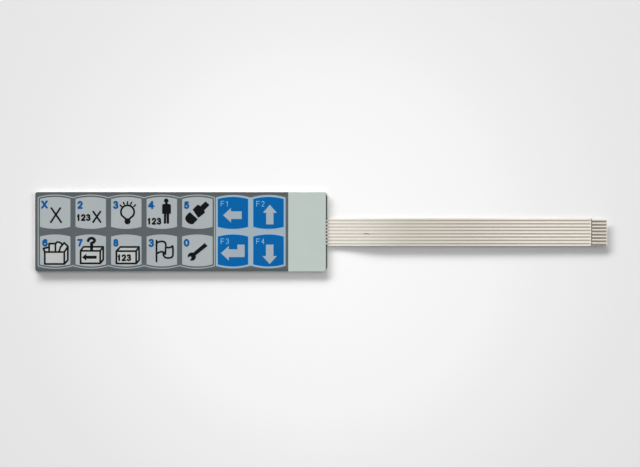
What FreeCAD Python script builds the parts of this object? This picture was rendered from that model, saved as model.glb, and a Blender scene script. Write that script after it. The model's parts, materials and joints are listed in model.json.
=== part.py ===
import FreeCAD, Part
import math
import os
import re

import Sketcher

# Membrane keypad: fourteen snap-dome keys under a printed overlay, with a flat eight-way tail.
# Millimetres. The origin is the centre of the panel's rear face. +X runs towards the tail,
# +Y towards the upper row of keys and +Z out of the key face.

SIZES = (
    # Panel outline and key grid
    ("panel_length", 224.0),
    ("panel_width", 61.0),
    ("left_corner_radius", 2.0),
    ("right_corner_radius", 1.2),
    ("first_key_inset", 15.4),
    ("key_pitch", 27.35),
    ("row_pitch", 28.9),
    ("key_width", 23.4),
    ("key_height", 24.6),
    ("key_arch_radius", 43.6),
    # Layers, from the rear face up
    ("liner_thick", 0.12),
    ("rear_glue_thick", 0.13),
    ("backing_thick", 0.5),
    ("bond_thick", 0.05),
    ("film_thick", 0.125),
    ("silver_thick", 0.03),
    ("retainer_thick", 0.1),
    ("overlay_glue_thick", 0.05),
    ("overlay_thick", 0.25),
    ("print_thick", 0.03),
    ("backing_overhang", 0.65),
    ("backing_corner_radius", 3.6),
    # Printed fields on the overlay
    ("dark_field_length", 194.7),
    ("contour_margin", 1.45),
    ("contour_width", 0.65),
    ("blue_border", 1.5),
    # Snap domes and the pockets that hold them
    ("dome_diameter", 12.0),
    ("dome_rise", 0.4),
    ("dome_metal", 0.12),
    ("dome_waist", 8.0),
    ("dome_leg_width", 3.7),
    ("dome_head_gap", 0.02),
    ("dome_side_gap", 0.5),
    ("vent_width", 1.5),
    # Printed silver tracks
    ("track_width", 1.15),
    ("lane_pitch", 1.9),
    ("lane_edge_margin", 2.0),
    ("centre_pad_size", 4.0),
    ("foot_pad_width", 2.9),
    ("foot_pad_margin", 0.2),
    ("fan_start", 12.0),
    # Tail
    ("tail_length", 216.1),
    ("tail_width", 21.1),
    ("tail_offset", -0.35),
    ("contact_pitch", 2.54),
    ("track_offset", -0.26),
    ("tail_lead", 10.0),
    ("tail_crest", 1.8),
    ("tail_crest_start", 36.0),
    ("tail_crest_end", 112.0),
    ("tail_end_lift", 1.4),
    ("tail_bend_radius", 500.0),
    ("tail_cover_thick", 0.05),
    ("tail_glue_thick", 0.005),
    ("contact_length", 12.0),
    ("contact_width", 1.5),
    ("contact_shift", -0.77),
    ("contact_trim", 0.7),
    ("contact_end_margin", 0.5),
    ("stiffener_length", 18.0),
    ("stiffener_thick", 0.19),
    ("stiffener_lead", 7.0),
)
NAMES = {name for name, number in SIZES}

# The corners of a dome's feet lie on the base of its crown, whose sphere follows from the rise.
FOOT_CORNER_SQUARED = "((dome_diameter / 2) ^ 2 + (dome_leg_width / 2) ^ 2)"
CROWN_RADIUS = "(%s / (2 * dome_rise) + dome_rise / 2)" % FOOT_CORNER_SQUARED

# The layers of the panel in the order in which they lie, each with the formula of its thickness.
SPACER_THICK = "(dome_rise + dome_head_gap)"
STACK = (
    ("release_liner", "liner_thick"),
    ("rear_adhesive", "rear_glue_thick"),
    ("backing_sheet", "backing_thick"),
    ("circuit_adhesive", "bond_thick"),
    ("circuit_film", "film_thick"),
    ("silver_tracks", "silver_thick"),
    ("dome_spacer", SPACER_THICK),
    ("dome_retainer", "retainer_thick"),
    ("overlay_adhesive", "overlay_glue_thick"),
    ("overlay_film", "overlay_thick"),
    ("first_print", "print_thick"),
    ("second_print", "print_thick"),
    ("third_print", "print_thick"),
)

COLUMNS = 7
GREY_COLUMNS = 5
BLUE_COLUMNS = COLUMNS - GREY_COLUMNS
ROWS = 2
TAIL_LINES = 8
USE_OFFSET = -1.0  # a spacing that follows the pattern's own offset
TOP_KEYS = ("1", "2", "3", "4", "5", "f1", "f2")
BOTTOM_KEYS = ("6", "7", "8", "9", "0", "f3", "f4")

LEFT_EDGE = "-panel_length / 2"
RIGHT_EDGE = "panel_length / 2"
LOW_EDGE = "-panel_width / 2"
HIGH_EDGE = "panel_width / 2"

document = FreeCAD.newDocument("membrane_keypad")
sheet = document.addObject("Spreadsheet::Sheet", "sizes")
parts = []


# Sizes and formulas

def fill_sheet():
    for row, (name, number) in enumerate(SIZES, 1):
        sheet.set("A%d" % row, name.replace("_", " "))
        sheet.set("B%d" % row, "%g" % number)
        sheet.setAlias("B%d" % row, name)
    document.recompute()


def cells(formula):
    """The formula with each size written as its cell in the sheet."""
    def as_cell(match):
        word = match.group()
        return "sizes." + word if word in NAMES else word
    return re.sub(r"[a-z][a-z_]*", as_cell, formula)


def value(formula):
    return float(sheet.evalExpression(cells(formula)))


def level(layer):
    """The formula of the height of a layer's underside."""
    below = []
    for name, thickness in STACK:
        if name == layer:
            return " + ".join(below) or "0"
        below.append(thickness)
    raise ValueError("no layer named " + layer)


def column_x(column):
    return "(%s + first_key_inset + %d * key_pitch)" % (LEFT_EDGE, column)


def row_y(row):
    """Row 0 is the upper row of keys and row 1 the lower."""
    return "(row_pitch / 2)" if row == 0 else "(-row_pitch / 2)"


# Sketches and bodies

def new_body(label, height):
    body = document.addObject("PartDesign::Body", label)
    body.Label = label
    body.AllowCompound = True
    body.setExpression("Placement.Base.z", cells(height))
    parts.append(body)
    return body


def new_sketch(body, plane, name):
    sketch = body.newObject("Sketcher::SketchObject", body.Label + "_" + name)
    origin_plane = [o for o in body.Origin.OriginFeatures if o.Role == plane][0]
    sketch.AttachmentSupport = [(origin_plane, "")]
    sketch.MapMode = "FlatFace"
    return sketch


def dimension(sketch, name, kind, geometry, formula):
    """A named dimension of the sketch, bound to a formula of sizes."""
    index = sketch.addConstraint(Sketcher.Constraint(kind, *geometry, value(formula)))
    sketch.renameConstraint(index, name)
    sketch.setExpression("Constraints." + name, cells(formula))


def rectangle(sketch, left, right, low, high, radii=(None, None)):
    """An outline on four edges. radii are those of the left and of the right corners."""
    x0, x1, y0, y1 = (value(formula) for formula in (left, right, low, high))
    corners = ((x1, y0, -1, 1, radii[1]), (x1, y1, -1, -1, radii[1]),
               (x0, y1, 1, -1, radii[0]), (x0, y0, 1, 1, radii[0]))
    reach = [value(corner[4]) if corner[4] else 0.0 for corner in corners]
    start = [FreeCAD.Vector(x0 + reach[3], y0, 0), FreeCAD.Vector(x1, y0 + reach[0], 0),
             FreeCAD.Vector(x1 - reach[1], y1, 0), FreeCAD.Vector(x0, y1 - reach[2], 0)]
    end = [FreeCAD.Vector(x1 - reach[0], y0, 0), FreeCAD.Vector(x1, y1 - reach[1], 0),
           FreeCAD.Vector(x0 + reach[2], y1, 0), FreeCAD.Vector(x0, y0 + reach[3], 0)]
    lines = [sketch.addGeometry(Part.LineSegment(start[i], end[i]), False) for i in range(4)]
    for i, direction in enumerate(("Horizontal", "Vertical", "Horizontal", "Vertical")):
        sketch.addConstraint(Sketcher.Constraint(direction, lines[i]))
    for i, (x, y, inward_x, inward_y, radius) in enumerate(corners):
        following = lines[(i + 1) % 4]
        if radius is None:
            sketch.addConstraint(Sketcher.Constraint("Coincident", lines[i], 2, following, 1))
            continue
        centre = FreeCAD.Vector(x + inward_x * reach[i], y + inward_y * reach[i], 0)
        circle = Part.Circle(centre, FreeCAD.Vector(0, 0, 1), reach[i])
        first_angle = math.pi / 2 * (i - 1)
        arc = sketch.addGeometry(Part.ArcOfCircle(circle, first_angle, first_angle + math.pi / 2), False)
        sketch.addConstraint(Sketcher.Constraint("Tangent", lines[i], 2, arc, 1))
        sketch.addConstraint(Sketcher.Constraint("Tangent", arc, 2, following, 1))
        dimension(sketch, "radius_%d" % i, "Radius", (arc,), radius)
    dimension(sketch, "low", "DistanceY", (-1, 1, lines[0], 1), low)
    dimension(sketch, "right", "DistanceX", (-1, 1, lines[1], 1), right)
    dimension(sketch, "high", "DistanceY", (-1, 1, lines[2], 1), high)
    dimension(sketch, "left", "DistanceX", (-1, 1, lines[3], 1), left)


def polygon(sketch, vertices):
    """A closed outline of straight lines through vertices, each a pair of formulas."""
    points = [FreeCAD.Vector(value(x), value(y), 0) for x, y in vertices]
    lines = [sketch.addGeometry(Part.LineSegment(first, second), False)
             for first, second in zip(points, points[1:] + points[:1])]
    for i, line in enumerate(lines):
        sketch.addConstraint(Sketcher.Constraint("Coincident", lines[i - 1], 2, line, 1))
        for kind, axis, formula in (("DistanceX", -2, vertices[i][0]), ("DistanceY", -1, vertices[i][1])):
            if formula == "0":
                sketch.addConstraint(Sketcher.Constraint("PointOnObject", line, 1, axis))
            else:
                dimension(sketch, "%s_%d" % (kind, i), kind, (-1, 1, line, 1), formula)


def panel_outline(sketch):
    rectangle(sketch, LEFT_EDGE, RIGHT_EDGE, LOW_EDGE, HIGH_EDGE,
              ("left_corner_radius", "right_corner_radius"))


def circle_at(sketch, name, x, y, radius):
    circle = Part.Circle(FreeCAD.Vector(value(x), value(y), 0), FreeCAD.Vector(0, 0, 1), value(radius))
    index = sketch.addGeometry(circle, False)
    dimension(sketch, name + "_x", "DistanceX", (-1, 1, index, 3), x)
    if value(y) != 0:
        dimension(sketch, name + "_y", "DistanceY", (-1, 1, index, 3), y)
    else:
        sketch.addConstraint(Sketcher.Constraint("PointOnObject", index, 3, -1))
    dimension(sketch, name + "_radius", "Radius", (index,), radius)


def pad(body, sketch, thickness):
    feature = body.newObject("PartDesign::Pad", body.Label + "_pad")
    feature.Profile = sketch
    feature.setExpression("Length", cells(thickness))
    document.recompute()
    return feature


def pocket_through(body, sketch, name):
    """Cuts the sketch right through the body, both ways from its plane."""
    before = body.Shape.Volume
    feature = body.newObject("PartDesign::Pocket", body.Label + "_" + name)
    feature.Profile = sketch
    feature.Type = "ThroughAll"
    feature.SideType = "Symmetric"
    document.recompute()
    if feature.Shape.Volume >= before:
        raise RuntimeError(feature.Label + " cuts nothing")
    return feature


def grid(body, feature, sketch, columns, rows):
    """Repeats a feature over the grid of keys, rightwards and upwards."""
    pattern = body.newObject("PartDesign::LinearPattern", feature.Label + "_grid")
    pattern.Originals = [feature]
    pattern.Direction = (sketch, ["H_Axis"])
    pattern.Mode = "Spacing"
    pattern.setExpression("Offset", cells("key_pitch"))
    pattern.Occurrences = columns
    pattern.Direction2 = (sketch, ["V_Axis"])
    pattern.Mode2 = "Spacing"
    pattern.setExpression("Offset2", cells("row_pitch"))
    pattern.Occurrences2 = rows
    pattern.Spacings2 = [USE_OFFSET] * (rows - 1)
    body.Tip = pattern
    document.recompute()
    return pattern


# Flat layers of the panel

def panel_layer(label, thickness):
    body = new_body(label, level(label))
    sketch = new_sketch(body, "XY_Plane", "outline")
    panel_outline(sketch)
    pad(body, sketch, thickness)
    return body


def backing_sheet():
    """The dark sheet under the circuit, cut a little longer than the overlay at the tail end."""
    body = new_body("backing_sheet", level("backing_sheet"))
    sketch = new_sketch(body, "XY_Plane", "outline")
    rectangle(sketch, LEFT_EDGE, RIGHT_EDGE + " + backing_overhang", LOW_EDGE, HIGH_EDGE,
              ("left_corner_radius", "backing_corner_radius"))
    pad(body, sketch, "backing_thick")


def dome_spacer():
    """The sheet with a round pocket for each dome, joined by channels that let the air move."""
    body = panel_layer("dome_spacer", SPACER_THICK)
    holes = new_sketch(body, "XY_Plane", "pocket")
    circle_at(holes, "pocket", column_x(0), row_y(1), "dome_diameter / 2 + dome_side_gap")
    grid(body, pocket_through(body, holes, "pockets"), holes, COLUMNS, ROWS)
    for row in range(ROWS):
        channel = new_sketch(body, "XY_Plane", "row_vent_%d" % row)
        rectangle(channel, column_x(0), column_x(COLUMNS - 1),
                  row_y(row) + " - vent_width / 2", row_y(row) + " + vent_width / 2")
        pocket_through(body, channel, "row_vent_cut_%d" % row)
    middle = column_x(COLUMNS // 2)
    link = new_sketch(body, "XY_Plane", "cross_vent")
    rectangle(link, middle + " - vent_width / 2", middle + " + vent_width / 2", row_y(1), row_y(0))
    pocket_through(body, link, "cross_vent_cut")


# Snap domes

def dome_plan(sketch):
    """The outline of the four legs inside a square that is cut away. The waist leaves the middle
    of each side open, where a track runs under the dome."""
    corner = FreeCAD.Vector(value("dome_diameter"), value("dome_diameter"), 0)
    waste = [FreeCAD.Vector(sx * corner.x, sy * corner.y, 0) for sx, sy in ((1, 1), (-1, 1), (-1, -1), (1, -1))]
    for first, second in zip(waste, waste[1:] + waste[:1]):
        line = sketch.addGeometry(Part.LineSegment(first, second), False)
        sketch.addConstraint(Sketcher.Constraint("Block", line))
    near = "((dome_diameter - dome_leg_width) / 2 * sqrt(0.5))"
    far = "((dome_diameter + dome_leg_width) / 2 * sqrt(0.5))"
    quarter = (("(dome_waist / 2)", "0"), (far, near), (near, far))
    vertices = []
    for sign_x, sign_y, swapped in (("", "", False), ("-", "", True), ("-", "-", False), ("", "-", True)):
        for x, y in quarter:
            x, y = (y, x) if swapped else (x, y)
            vertices.append((x if x == "0" else sign_x + x, y if y == "0" else sign_y + y))
    polygon(sketch, vertices)


def snap_dome(key, column, row):
    """A shallow metal crown on four feet. The body's origin is the centre of the crown's sphere."""
    body = new_body("dome_" + key, level("dome_spacer") + " + dome_rise - " + CROWN_RADIUS)
    body.setExpression("Placement.Base.x", cells(column_x(column)))
    body.setExpression("Placement.Base.y", cells(row_y(row)))
    half = "(dome_diameter * 0.55)"
    outer = value(CROWN_RADIUS)
    inner = outer - value("dome_metal")
    middle = FreeCAD.Vector(0, 0, 0)
    flat = FreeCAD.Vector(0, 0, 1)
    profile = new_sketch(body, "XZ_Plane", "profile")
    arcs = []
    for radius in (outer, inner):
        turn = math.asin(value(half) / radius)
        arc = Part.ArcOfCircle(Part.Circle(middle, flat, radius), math.pi / 2 - turn, math.pi / 2 + turn)
        arcs.append(profile.addGeometry(arc, False))
        profile.addConstraint(Sketcher.Constraint("Coincident", arcs[-1], 3, -1, 1))
    top, under = arcs
    for end, sign, name in ((1, 1, "right"), (2, -1, "left")):
        x = sign * value(half)
        side = Part.LineSegment(FreeCAD.Vector(x, math.sqrt(inner ** 2 - x ** 2), 0),
                                FreeCAD.Vector(x, math.sqrt(outer ** 2 - x ** 2), 0))
        line = profile.addGeometry(side, False)
        profile.addConstraint(Sketcher.Constraint("Coincident", line, 1, under, end))
        profile.addConstraint(Sketcher.Constraint("Coincident", line, 2, top, end))
        profile.addConstraint(Sketcher.Constraint("Vertical", line))
        dimension(profile, name, "DistanceX", (-1, 1, line, 1), half if sign > 0 else "-" + half)
    dimension(profile, "crown", "Radius", (top,), CROWN_RADIUS)
    dimension(profile, "under", "Radius", (under,), CROWN_RADIUS + " - dome_metal")
    crown = body.newObject("PartDesign::Revolution", body.Label + "_crown")
    crown.Profile = profile
    crown.ReferenceAxis = (profile, ["H_Axis"])
    crown.Midplane = True
    crown.setExpression("Angle", cells("2.2 * asin(dome_diameter / 2 / %s)" % CROWN_RADIUS))
    document.recompute()
    plan = new_sketch(body, "XY_Plane", "plan")
    dome_plan(plan)
    pocket_through(body, plan, "plan_cut")
    foot = new_sketch(body, "XY_Plane", "foot")
    rectangle(foot, "-dome_diameter", "dome_diameter", "-dome_diameter", "dome_diameter")
    level_feet(body, foot)


def level_feet(body, sketch):
    """Cuts a dome flat at the height where its crown's outside meets the corners of its feet."""
    before = body.Shape.Volume
    feature = body.newObject("PartDesign::Pocket", body.Label + "_foot_cut")
    feature.Profile = sketch
    feature.Reversed = True
    feature.setExpression("Length", cells(CROWN_RADIUS + " - dome_rise"))
    document.recompute()
    if feature.Shape.Volume >= before:
        raise RuntimeError(feature.Label + " cuts nothing")


def snap_domes():
    for row, keys in enumerate((TOP_KEYS, BOTTOM_KEYS)):
        for column, key in enumerate(keys):
            snap_dome(key, column, row)


# The tail's side view

TAIL_END_Z = "(tail_end_lift + stiffener_thick)"


def tail_route(start_x, end_x):
    """The line of the film's underside: out of the panel, over a low crest and on to the end,
    which the curl of the film holds clear of the table."""
    exit_x = value(RIGHT_EDGE)
    exit_z = value(level("circuit_film"))
    end_z = value(TAIL_END_Z)
    crest_z = value("tail_crest")
    flat_x = value(RIGHT_EDGE + " + tail_length - stiffener_length - stiffener_lead")
    return [FreeCAD.Vector(start_x, 0, exit_z),
            FreeCAD.Vector(exit_x + value("tail_lead"), 0, exit_z),
            FreeCAD.Vector(exit_x + value("tail_crest_start"), 0, crest_z),
            FreeCAD.Vector(exit_x + value("tail_crest_end"), 0, crest_z),
            FreeCAD.Vector(flat_x, 0, end_z),
            FreeCAD.Vector(end_x, 0, end_z)]


def bent_edges(points, radius, rise):
    """Straight runs joined by tangent arcs, all moved up by rise."""
    lift = FreeCAD.Vector(0, 0, rise)
    edges = []
    last = points[0]
    for before, corner, after in zip(points, points[1:], points[2:]):
        back = (before - corner).normalize()
        ahead = (after - corner).normalize()
        half_turn = (math.pi - back.getAngle(ahead)) / 2
        tangent = radius * math.tan(half_turn)
        first = corner + back * tangent
        second = corner + ahead * tangent
        towards_centre = (back + ahead).normalize()
        middle = corner + towards_centre * (radius / math.cos(half_turn) - radius)
        edges.append(Part.LineSegment(last + lift, first + lift).toShape())
        edges.append(Part.Arc(first + lift, middle + lift, second + lift).toShape())
        last = second
    edges.append(Part.LineSegment(last + lift, points[-1] + lift).toShape())
    return edges


def tail_band(start_x, end_x, low_y, high_y, under, over):
    """A strip that follows the tail. under and over are its faces' heights above the film's underside."""
    points = tail_route(start_x, end_x)
    radius = value("tail_bend_radius")
    lower = bent_edges(points, radius, under)
    upper = bent_edges(points, radius, over)
    up = FreeCAD.Vector(0, 0, over - under)
    ends = []
    for point in (points[0], points[-1]):
        foot = point + FreeCAD.Vector(0, 0, under)
        ends.append(Part.LineSegment(foot, foot + up).toShape())
    side = Part.Face(Part.Wire(Part.__sortEdges__(lower + upper + ends)))
    side.translate(FreeCAD.Vector(0, low_y, 0))
    return side.extrude(FreeCAD.Vector(0, high_y - low_y, 0))


def feature(label, shape):
    part = document.addObject("Part::Feature", label)
    part.Label = label
    part.Shape = shape
    parts.append(part)


# Circuit film with its tail, and what lies on the tail

def rounded_plate(left, right, low, high, left_radius, right_radius, height, thickness):
    plate = Part.makeBox(right - left, high - low, thickness, FreeCAD.Vector(left, low, height))
    for edge_x, radius in ((left, left_radius), (right, right_radius)):
        corners = [edge for edge in plate.Edges
                   if abs(edge.BoundBox.ZLength - thickness) < 1e-6
                   and edge.BoundBox.XLength < 1e-6 and abs(edge.BoundBox.XMin - edge_x) < 1e-6]
        plate = plate.makeFillet(radius, corners)
    return plate


def tail_edges():
    middle = value("tail_offset")
    half = value("tail_width / 2")
    return middle - half, middle + half


def tail_end_x():
    return value(RIGHT_EDGE + " + tail_length")


def circuit_film():
    """One polyester sheet: the panel and its tongue, cut narrower over the contacts."""
    thickness = value("film_thick")
    plate = rounded_plate(value(LEFT_EDGE), value(RIGHT_EDGE), value(LOW_EDGE), value(HIGH_EDGE),
                          value("left_corner_radius"), value("right_corner_radius"),
                          value(level("circuit_film")), thickness)
    low, high = tail_edges()
    contacts_x = tail_end_x() - value("contact_length")
    tongue = tail_band(value(RIGHT_EDGE), contacts_x, low, high, 0.0, thickness)
    tip = Part.makeBox(value("contact_length"), high - value("contact_trim") - low, thickness,
                       FreeCAD.Vector(contacts_x, low, value(TAIL_END_Z)))
    feature("circuit_film", plate.fuse([tongue, tip]).removeSplitter())


def tail_cover_film():
    """The clear film laminated over the tail's tracks. Its glue is only a gap."""
    low, high = tail_edges()
    under = value("film_thick + silver_thick + tail_glue_thick")
    feature("tail_cover_film", tail_band(value(RIGHT_EDGE), tail_end_x() - value("contact_length"),
                                         low, high, under, under + value("tail_cover_thick")))


def tail_stiffener():
    """The plain sheet under the contacts."""
    body = new_body("tail_stiffener", "tail_end_lift")
    sketch = new_sketch(body, "XY_Plane", "outline")
    tip = RIGHT_EDGE + " + tail_length"
    rectangle(sketch, tip + " - stiffener_length", tip, "tail_offset - tail_width / 2",
              "tail_offset + tail_width / 2 - contact_trim")
    pad(body, sketch, "stiffener_thick")


def line_y(line):
    """The tail's lines are counted from +Y to -Y."""
    return "(track_offset + %g * contact_pitch)" % ((TAIL_LINES - 1) / 2 - line)


def contact_fingers():
    """Carbon fingers, a little wider than the silver tracks and printed a little below them."""
    body = new_body("contact_fingers", TAIL_END_Z + " + film_thick")
    sketch = new_sketch(body, "XY_Plane", "finger")
    tip = RIGHT_EDGE + " + tail_length"
    middle = line_y(TAIL_LINES - 1) + " + contact_shift"
    rectangle(sketch, tip + " - contact_length", tip + " - contact_end_margin",
              middle + " - contact_width / 2", middle + " + contact_width / 2")
    finger = pad(body, sketch, "silver_thick")
    pattern = body.newObject("PartDesign::LinearPattern", "finger_row")
    pattern.Originals = [finger]
    pattern.Direction = (sketch, ["V_Axis"])
    pattern.Mode = "Spacing"
    pattern.setExpression("Offset", cells("contact_pitch"))
    pattern.Occurrences = TAIL_LINES
    body.Tip = pattern


# Printed silver tracks
# Four row tracks and four column tracks reach the fourteen keys with no crossing outside them:
# a row track stops at each dome's two foot pads, the dome bridges them, and the column track
# passes between the dome's feet through the pad at its centre.

FOOT_REACH = "((dome_diameter + dome_leg_width) / 2 * sqrt(0.5) + foot_pad_margin)"


def joined(shapes):
    return shapes[0].fuse(shapes[1:]).removeSplitter() if len(shapes) > 1 else shapes[0]


def track_run(points):
    """A track of the set width along points in plan: a bar for each run, square at each turn."""
    half = value("track_width / 2")
    height = value(level("silver_tracks"))
    last = len(points) - 2
    bars = []
    for i, (start, end) in enumerate(zip(points, points[1:])):
        start = FreeCAD.Vector(*start, height)
        end = FreeCAD.Vector(*end, height)
        along = (end - start).normalize() * half
        start -= along * (i > 0)
        end += along * (i < last)
        across = FreeCAD.Vector(abs(along.y), abs(along.x), 0)
        low = FreeCAD.Vector(min(start.x, end.x), min(start.y, end.y), height) - across
        high = FreeCAD.Vector(max(start.x, end.x), max(start.y, end.y), height) + across
        bars.append(Part.makeBox(high.x - low.x, high.y - low.y, value("silver_thick"), low))
    return joined(bars)


def centre_pad(column, row):
    size = value("centre_pad_size")
    corner = FreeCAD.Vector(value(column_x(column)) - size / 2, value(row_y(row)) - size / 2,
                            value(level("silver_tracks")))
    return Part.makeBox(size, size, value("silver_thick"), corner)


def foot_pad(column, row, side):
    """The bar of silver under the two feet on one side of a dome. side is -1 left and 1 right."""
    outer = value(FOOT_REACH)
    width = value("foot_pad_width")
    near_x = outer - width if side > 0 else -outer
    corner = FreeCAD.Vector(value(column_x(column)) + near_x, value(row_y(row)) - outer,
                            value(level("silver_tracks")))
    return Part.makeBox(width, 2 * outer, value("silver_thick"), corner)


def lane_y(lane, side):
    """The height of a lane along the upper (side 1) or lower (side -1) edge. Lane 0 is outermost."""
    return side * value(HIGH_EDGE + " - lane_edge_margin - %d * lane_pitch" % lane)


def fan_x(step):
    """Where a track turns towards the tail, to the right of the last column."""
    return value("%s + fan_start + %d * contact_pitch" % (column_x(COLUMNS - 1), step))


def into_tail(step, line):
    """The last points of a track in the panel: down or up at its step of the fan and out."""
    y = value(line_y(line))
    return [(fan_x(step), y), (value(RIGHT_EDGE), y)]


def tail_track(line):
    half = value("track_width / 2")
    y = value(line_y(line))
    under = value("film_thick")
    return tail_band(value(RIGHT_EDGE), tail_end_x() - value("contact_length"), y - half, y + half,
                     under, under + value("silver_thick"))


def foot_x(column, side):
    """Where a row track meets a dome's foot pad."""
    return value(column_x(column)) + side * value(FOOT_REACH)


def row_track(label, row, first, last, exit_side, lead, line):
    """The silver of one row, in the stretches that its domes join. lead are its points to the tail."""
    y = value(row_y(row))
    start = first if exit_side < 0 else last
    stretches = []
    for column in range(first, last):
        link = track_run([(foot_x(column, 1), y), (foot_x(column + 1, -1), y)])
        stretches.append(joined([foot_pad(column, row, 1), link, foot_pad(column + 1, row, -1)]))
    blind_side = first if exit_side > 0 else last
    stretches.append(foot_pad(blind_side, row, -exit_side))
    way_out = track_run([(foot_x(start, exit_side), y)] + lead)
    stretches.append(joined([foot_pad(start, row, exit_side), way_out, tail_track(line)]))
    feature(label, Part.makeCompound(stretches))


def column_track(label, runs, pads, line):
    shapes = [track_run(run) for run in runs] + [centre_pad(*place) for place in pads]
    feature(label, joined(shapes + [tail_track(line)]))


def row_tracks():
    edge = value(LEFT_EDGE + " + lane_edge_margin")
    upper = value(row_y(0))
    lower = value(row_y(1))
    last = COLUMNS - 1
    row_track("row_track_1", 0, 0, 3, -1,
              [(edge, upper), (edge, lane_y(0, 1)), (fan_x(4), lane_y(0, 1))] + into_tail(4, 0), 0)
    row_track("row_track_2", 0, 4, last, 1, [(fan_x(0), upper)] + into_tail(0, 4), 4)
    row_track("row_track_3", 1, 0, 3, -1,
              [(edge, lower), (edge, lane_y(0, -1)), (fan_x(2), lane_y(0, -1))] + into_tail(2, 7), 7)
    row_track("row_track_4", 1, 4, last, 1, [(fan_x(0), lower)] + into_tail(0, 5), 5)


def column_tracks():
    upper = value(row_y(0))
    lower = value(row_y(1))
    x = [value(column_x(column)) for column in range(COLUMNS)]
    column_track("column_track_1",
                 [[(x[0], upper), (x[0], lane_y(1, -1)), (fan_x(1), lane_y(1, -1))] + into_tail(1, 6),
                  [(x[6], upper), (x[6], lane_y(1, -1))]],
                 [(0, 0), (0, 1), (6, 0), (6, 1)], 6)
    column_track("column_track_2",
                 [[(x[1], upper), (x[1], lane_y(2, -1)), (x[5], lane_y(2, -1)), (x[5], lane_y(3, 1)),
                   (fan_x(1), lane_y(3, 1))] + into_tail(1, 3)],
                 [(1, 0), (1, 1), (5, 0), (5, 1)], 3)
    column_track("column_track_3",
                 [[(x[2], upper), (x[2], lane_y(3, -1)), (x[4], lane_y(3, -1)), (x[4], lane_y(2, 1)),
                   (fan_x(2), lane_y(2, 1))] + into_tail(2, 2)],
                 [(2, 0), (2, 1), (4, 0), (4, 1)], 2)
    column_track("column_track_4",
                 [[(x[3], lower), (x[3], lane_y(1, 1)), (fan_x(3), lane_y(1, 1))] + into_tail(3, 1)],
                 [(3, 0), (3, 1)], 1)


# Printed fields on the overlay

def dark_field():
    body = new_body("print_dark_field", level("first_print"))
    sketch = new_sketch(body, "XY_Plane", "outline")
    rectangle(sketch, LEFT_EDGE, LEFT_EDGE + " + dark_field_length", LOW_EDGE, HIGH_EDGE,
              ("left_corner_radius", None))
    pad(body, sketch, "print_thick")


def key_fields(label, layer, first_column, columns):
    """Key fields with straight sides and arched ends, drawn once and repeated over the grid."""
    body = new_body(label, level(layer))
    sketch = new_sketch(body, "XY_Plane", "key")
    centre_x = column_x(first_column)
    centre_y = row_y(1)
    x, y = value(centre_x), value(centre_y)
    half_width = value("key_width / 2")
    half_height = value("key_height / 2")
    radius = value("key_arch_radius")
    half_angle = math.asin(half_width / radius)
    shoulder = half_height - radius + radius * math.cos(half_angle)
    flat = FreeCAD.Vector(0, 0, 1)
    right = sketch.addGeometry(Part.LineSegment(FreeCAD.Vector(x + half_width, y - shoulder, 0),
                                                FreeCAD.Vector(x + half_width, y + shoulder, 0)), False)
    left = sketch.addGeometry(Part.LineSegment(FreeCAD.Vector(x - half_width, y + shoulder, 0),
                                               FreeCAD.Vector(x - half_width, y - shoulder, 0)), False)
    arches = []
    for side in (1, -1):
        centre = FreeCAD.Vector(x, y + side * (half_height - radius), 0)
        middle = side * math.pi / 2
        arc = Part.ArcOfCircle(Part.Circle(centre, flat, radius), middle - half_angle, middle + half_angle)
        arches.append(sketch.addGeometry(arc, False))
    top, bottom = arches
    for join in ((right, 2, top, 1), (top, 2, left, 1), (left, 2, bottom, 1), (bottom, 2, right, 1)):
        sketch.addConstraint(Sketcher.Constraint("Coincident", *join))
    sketch.addConstraint(Sketcher.Constraint("Vertical", right))
    sketch.addConstraint(Sketcher.Constraint("Vertical", left))
    dimension(sketch, "right", "DistanceX", (-1, 1, right, 1), centre_x + " + key_width / 2")
    dimension(sketch, "left", "DistanceX", (-1, 1, left, 1), centre_x + " - key_width / 2")
    for name, arc, sign in (("top", top, "+"), ("bottom", bottom, "-")):
        arch_y = "%s %s (key_height / 2 - key_arch_radius)" % (centre_y, sign)
        dimension(sketch, name + "_x", "DistanceX", (-1, 1, arc, 3), centre_x)
        dimension(sketch, name + "_y", "DistanceY", (-1, 1, arc, 3), arch_y)
        dimension(sketch, name + "_radius", "Radius", (arc,), "key_arch_radius")
    grid(body, pad(body, sketch, "print_thick"), sketch, columns, ROWS)


def scalloped_face(first_column, columns, margin, height):
    """The outline round a block of keys, arched over each key at a set margin from it."""
    x = [value(column_x(first_column + i)) for i in range(columns)]
    left = x[0] - value("key_width / 2") - margin
    right = x[-1] + value("key_width / 2") + margin
    ends = [left] + [(a + b) / 2 for a, b in zip(x, x[1:])] + [right]
    radius = value("key_arch_radius") + margin
    apex = value("row_pitch / 2 + key_height / 2") + margin

    def arch(key_x, at_x):
        return apex - radius + math.sqrt(radius ** 2 - (at_x - key_x) ** 2)

    edges = []
    for side in (1, -1):
        for key_x, first, last in zip(x, ends, ends[1:]):
            points = [FreeCAD.Vector(at_x, side * arch(key_x, at_x), height) for at_x in (first, key_x, last)]
            edges.append(Part.Arc(*points).toShape())
    for key_x, at_x in ((x[0], left), (x[-1], right)):
        reach = arch(key_x, at_x)
        edges.append(Part.LineSegment(FreeCAD.Vector(at_x, -reach, height),
                                      FreeCAD.Vector(at_x, reach, height)).toShape())
    return Part.Face(Part.Wire(Part.__sortEdges__(edges)))


def contour_line():
    """The light line round the ten grey keys."""
    height = value(level("second_print"))
    margin = value("contour_margin")
    half = value("contour_width / 2")
    ring = scalloped_face(0, GREY_COLUMNS, margin + half, height).cut(
        scalloped_face(0, GREY_COLUMNS, margin - half, height))
    feature("print_contour_line", ring.extrude(FreeCAD.Vector(0, 0, value("print_thick"))))


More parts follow.
